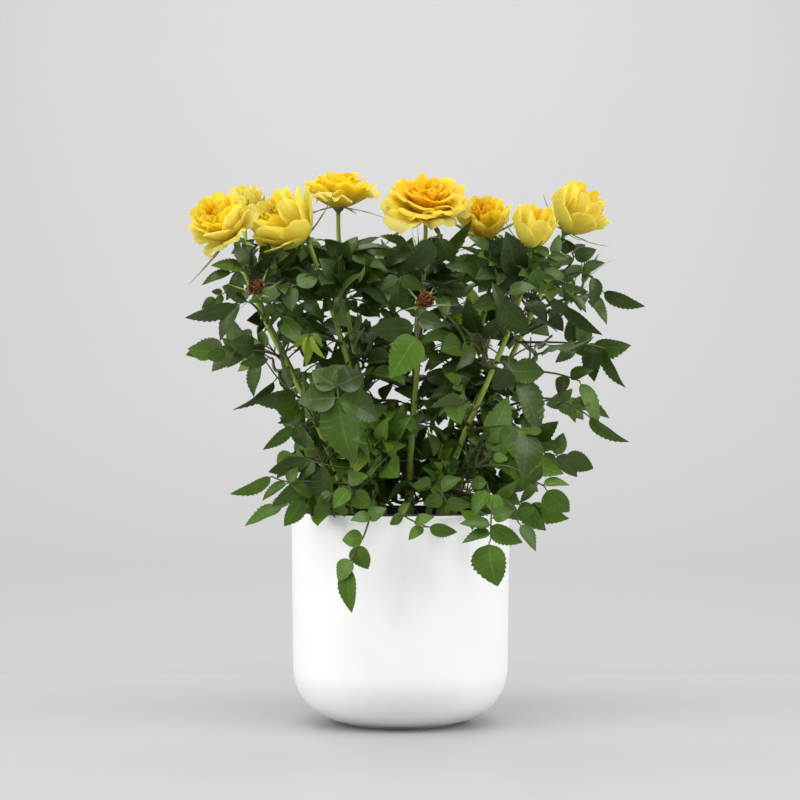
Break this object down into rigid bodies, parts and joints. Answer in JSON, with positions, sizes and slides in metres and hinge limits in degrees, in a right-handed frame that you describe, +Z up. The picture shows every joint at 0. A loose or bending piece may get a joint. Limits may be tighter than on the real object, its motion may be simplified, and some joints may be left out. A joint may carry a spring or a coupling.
{
  "type": "potted rose bush",
  "caption": "Small flowering rose bush with many canes, leafy side shoots, double blooms and buds, in a grow pot of soil inside a round-bottomed cover pot.",
  "frame": {"origin": "centre of the white pot's flat foot, on the surface it stands on", "axes": "+Z up along the pot's axis; +Y away from the front of the plant, so the front faces -Y; +X to the front view's right"},
  "size_m": [0.274, 0.2162, 0.3329],
  "materials": {
    "white_pot": "matte",
    "nursery_pot": "satin",
    "soil": "matte",
    "cane": "satin",
    "leaf": "satin",
    "petal": "matte",
    "bud": "matte"
  },
  "bodies": {
    "root": {"white_pot": "white_pot", "nursery_pot": "nursery_pot", "soil": "soil", "cane_left_front": "cane", "cane_left_back": "cane", "cane_mid_left": "cane", "cane_centre_left": "cane", "cane_centre": "cane", "cane_centre_right": "cane", "cane_mid_right": "cane", "cane_right": "cane", "cane_back_left": "cane", "cane_back": "cane", "cane_back_right": "cane", "bloom_left_front": "petal", "bloom_left_back": "petal", "bloom_mid_left": "petal", "bloom_centre_left": "petal", "bloom_centre": "petal", "bloom_centre_right": "petal", "bloom_mid_right": "petal", "bloom_right": "petal", "bud_back_left": "bud", "bud_back": "bud", "bud_back_right": "bud", "foliage_low_1": "leaf", "foliage_low_2": "leaf", "foliage_low_3": "leaf", "foliage_low_4": "leaf", "foliage_low_5": "leaf", "foliage_low_6": "leaf", "foliage_middle_1": "leaf", "foliage_middle_2": "leaf", "foliage_middle_3": "leaf", "foliage_middle_4": "leaf", "foliage_middle_5": "leaf", "foliage_middle_6": "leaf", "foliage_high_1": "leaf", "foliage_high_2": "leaf", "foliage_high_3": "leaf", "foliage_high_4": "leaf", "foliage_high_5": "leaf", "foliage_high_6": "leaf", "foliage_top_1": "leaf", "foliage_top_2": "leaf", "foliage_top_3": "leaf", "foliage_top_4": "leaf", "foliage_top_5": "leaf", "foliage_top_6": "leaf", "foliage_top_7": "leaf", "foliage_crest_1": "leaf", "foliage_crest_2": "leaf", "foliage_crest_3": "leaf", "foliage_crest_4": "leaf", "foliage_crest_5": "leaf", "foliage_crest_6": "leaf", "foliage_hanging_left": "leaf", "foliage_hanging_right": "leaf"}
  },
  "joints": []
}
